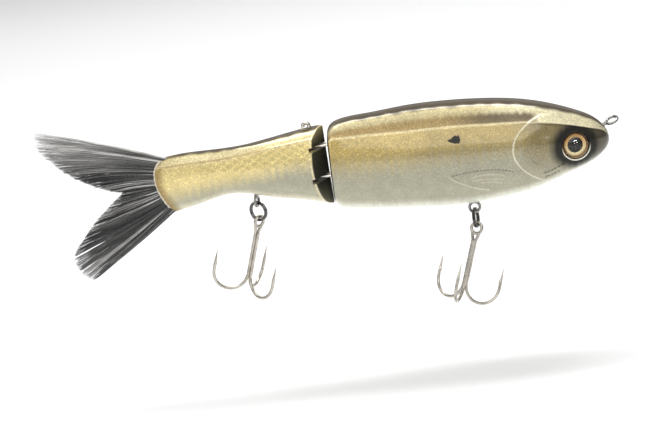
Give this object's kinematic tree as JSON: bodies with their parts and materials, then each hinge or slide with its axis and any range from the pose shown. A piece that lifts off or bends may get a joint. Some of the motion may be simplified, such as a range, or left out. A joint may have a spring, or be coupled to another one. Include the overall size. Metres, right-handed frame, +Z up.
{
  "type": "jointed glide swimbait",
  "caption": "Jointed hard-body swimbait: two painted shells on a vertical pin, domed eyes, wire line tie, forked fibre tail and treble hooks on split rings.",
  "frame": {"origin": "centre of the line tie's eye", "axes": "+X towards the nose along the body, +Z up towards the back, right side of the fish at -Y"},
  "size_m": [0.2558, 0.0388, 0.1024],
  "materials": {
    "painted_shell": "airbrushed gold over pearl grey under a gloss clear coat",
    "bright_wire": "bright drawn stainless wire",
    "black_nickel": "black nickel plate, satin",
    "tinned_steel": "satin tin plate",
    "iris_foil": "gold foil with a black pupil",
    "clear_dome": "clear polished dome",
    "ballast_metal": "dull cast metal",
    "root_resin": "hardened glue with fibre ends in it",
    "tail_fibre": "dark springy fibres with a silver sheen"
  },
  "bodies": {
    "front_section": {"front_shell_right": "painted_shell", "front_shell_left": "painted_shell", "line_tie": "bright_wire", "front_hook_hanger": "bright_wire", "upper_hinge_eye": "bright_wire", "lower_hinge_eye": "bright_wire", "iris_right": "iris_foil", "iris_left": "iris_foil", "eye_lens_right": "clear_dome", "eye_lens_left": "clear_dome", "chest_ballast": "ballast_metal", "belly_ballast": "ballast_metal"},
    "rear_section": {"rear_shell_right": "painted_shell", "rear_shell_left": "painted_shell", "hinge_pin": "bright_wire", "rear_hook_hanger": "bright_wire", "rear_ballast": "ballast_metal", "tail_root_block": "root_resin"},
    "tail_fin": {"tail_upper_lobe": "tail_fibre", "tail_lower_lobe": "tail_fibre"},
    "front_ring": {"front_split_ring": "black_nickel"},
    "front_hook": {"front_hook_pair": "tinned_steel", "front_hook_single": "tinned_steel"},
    "rear_ring": {"rear_split_ring": "black_nickel"},
    "rear_hook": {"rear_hook_pair": "tinned_steel", "rear_hook_single": "tinned_steel"}
  },
  "joints": [
    {"name": "tail_hinge", "type": "hinge", "parent": "front_section", "child": "rear_section", "pos_m": [-0.131, 0, 0], "axis": [0, 0, 1], "range_deg": [-40, 40]},
    {"name": "tail_fin_flex", "type": "hinge", "parent": "rear_section", "child": "tail_fin", "pos_m": [-0.201, 0, -0.006], "axis": [0, 0, 1], "range_deg": [-25, 25], "stiffness_Nm_per_rad": 0.004},
    {"name": "front_ring_swing", "type": "hinge", "parent": "front_section", "child": "front_ring", "pos_m": [-0.0632, 0, -0.0341], "axis": [1, 0, 0], "range_deg": [-47, 60]},
    {"name": "front_hook_swing", "type": "hinge", "parent": "front_ring", "child": "front_hook", "pos_m": [-0.0632, -0.00146, -0.04043], "axis": [0.2588, 0.9412, -0.2173], "range_deg": [-78, 42]},
    {"name": "rear_ring_swing", "type": "hinge", "parent": "rear_section", "child": "rear_ring", "pos_m": [-0.158, 0, -0.0193], "axis": [0.309, 0.9511, 0], "range_deg": [-55, 35]},
    {"name": "rear_hook_swing", "type": "hinge", "parent": "rear_ring", "child": "rear_hook", "pos_m": [-0.158, 0, -0.0258], "axis": [0.8191, -0.5736, 0], "range_deg": [-50, 50]}
  ]
}
